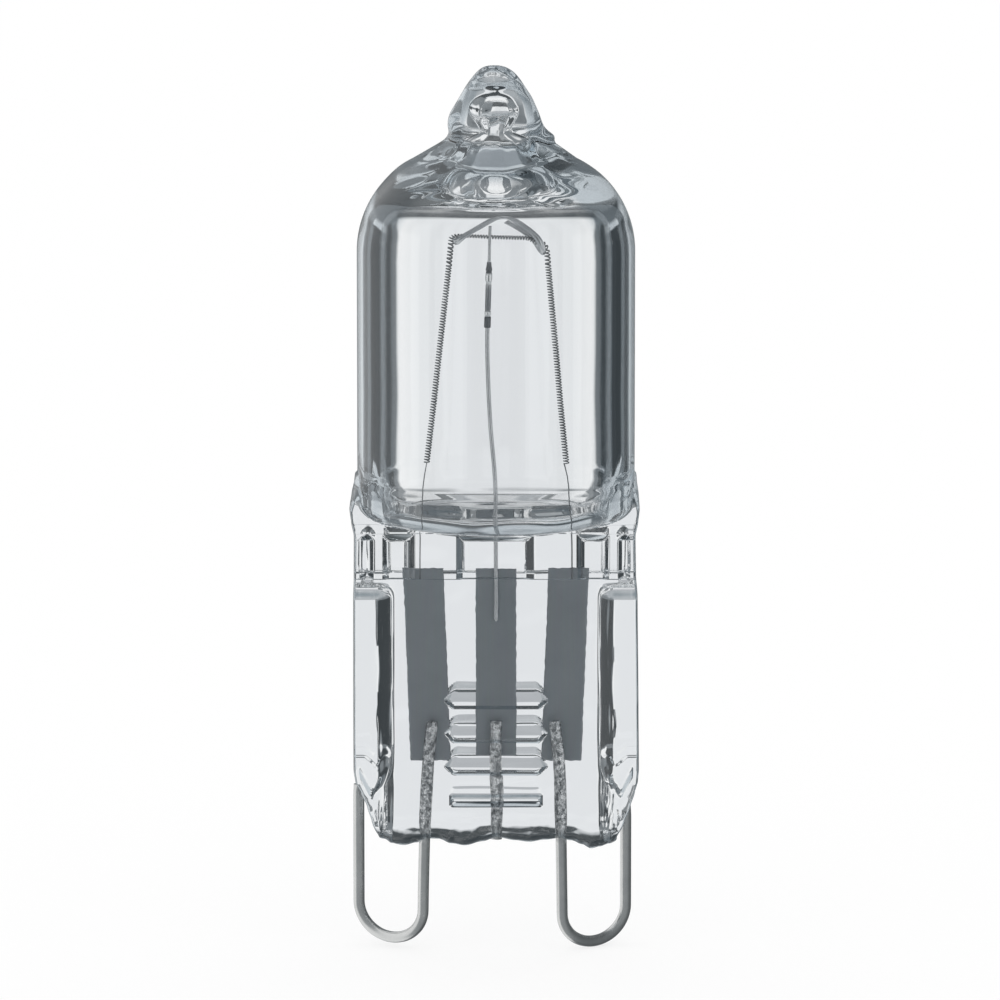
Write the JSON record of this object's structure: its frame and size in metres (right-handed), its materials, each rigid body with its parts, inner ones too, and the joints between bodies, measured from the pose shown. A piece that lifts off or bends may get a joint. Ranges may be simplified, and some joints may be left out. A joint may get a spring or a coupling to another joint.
{
  "type": "halogen capsule bulb",
  "caption": "Clear halogen capsule lamp: a pressed quartz envelope with a coiled filament, foils and looped contact wires for a plug-in lamp holder.",
  "frame": {"origin": "on the lamp's axis, level with the lowest point of the two contact loops", "axes": "+Z along the lamp's axis from the contact loops to the exhaust tip, +X across the two loops, -Y out of the press's front face"},
  "size_m": [0.0142, 0.0136, 0.0436],
  "materials": {
    "quartz": "clear, polished, slightly uneven where it was pressed",
    "molybdenum_foil": "satin, dark grey",
    "contact_wire": "drawn wire, bright grey",
    "tungsten": "drawn and coiled wire, dark grey",
    "support_wire": "drawn wire, bright grey"
  },
  "bodies": {
    "root": {"quartz_envelope": "quartz", "foil_left": "molybdenum_foil", "foil_centre": "molybdenum_foil", "foil_right": "molybdenum_foil", "contact_pin_left": "contact_wire", "contact_pin_right": "contact_wire", "centre_stub": "contact_wire", "support_rod": "support_wire", "support_sleeve": "support_wire", "hook_wire": "support_wire", "filament": "tungsten"}
  },
  "joints": []
}
